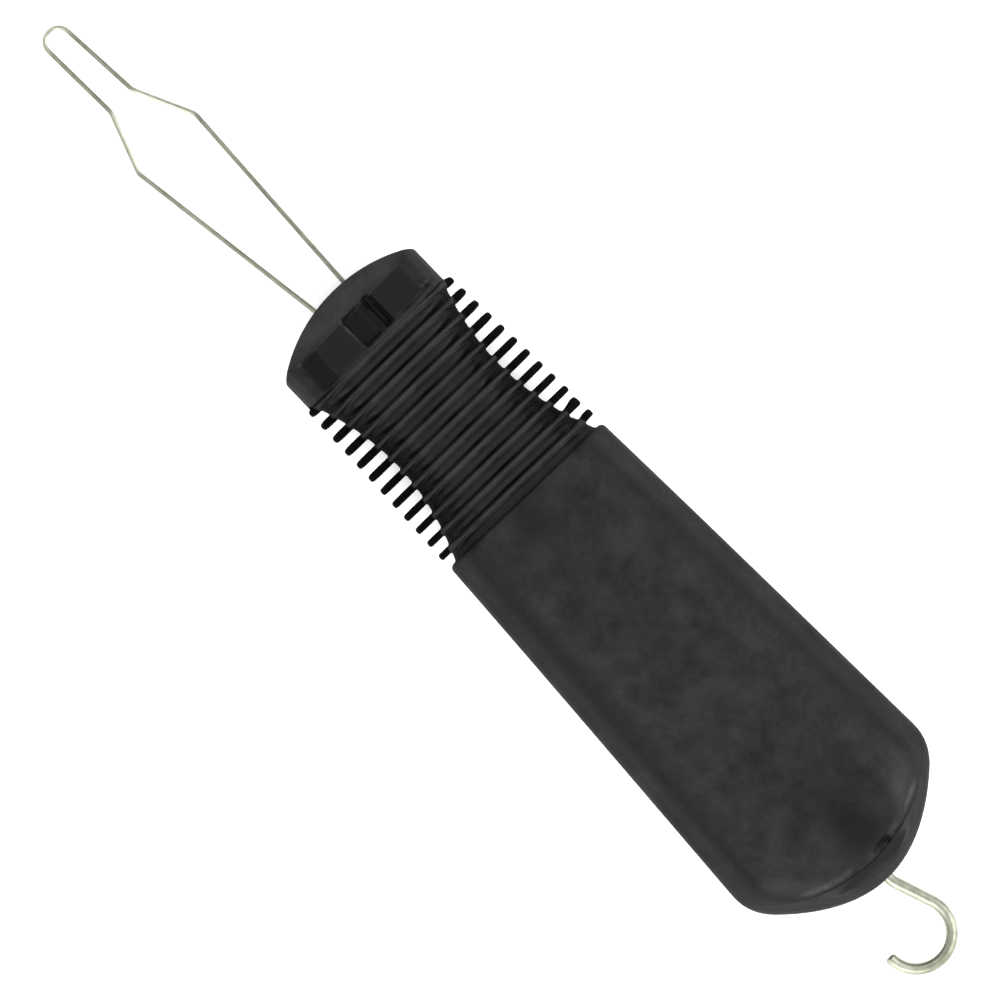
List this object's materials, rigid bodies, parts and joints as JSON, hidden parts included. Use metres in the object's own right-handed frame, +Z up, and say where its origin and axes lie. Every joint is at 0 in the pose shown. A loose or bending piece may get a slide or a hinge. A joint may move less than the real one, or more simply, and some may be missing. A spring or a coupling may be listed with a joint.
{
  "type": "button hook with zip puller",
  "caption": "Dressing aid: a broad finned rubber handle with a wire loop for pulling buttons at one end and a wire hook for pulling zips at the other.",
  "frame": {"origin": "on the resting surface, under the centre of the whole tool's bounding box", "axes": "+X along the handle from the wire loop to the zip hook, +Y across the handle, +Z up out of its broad face"},
  "size_m": [0.2042, 0.0394, 0.022],
  "materials": {
    "grip_rubber": "matt black thermoplastic rubber with a fine grain",
    "plug_plastic": "matt black moulded plastic",
    "core_plastic": "natural moulded polypropylene",
    "loop_steel": "drawn spring steel wire with a faint yellow-green cast",
    "hook_steel": "bright drawn steel wire with a faint yellow-green cast"
  },
  "bodies": {
    "root": {"grip_sleeve": "grip_rubber", "tail_plug": "plug_plastic", "core_upper_half": "core_plastic", "core_lower_half": "core_plastic", "button_wire": "loop_steel", "zip_hook": "hook_steel"}
  },
  "joints": []
}
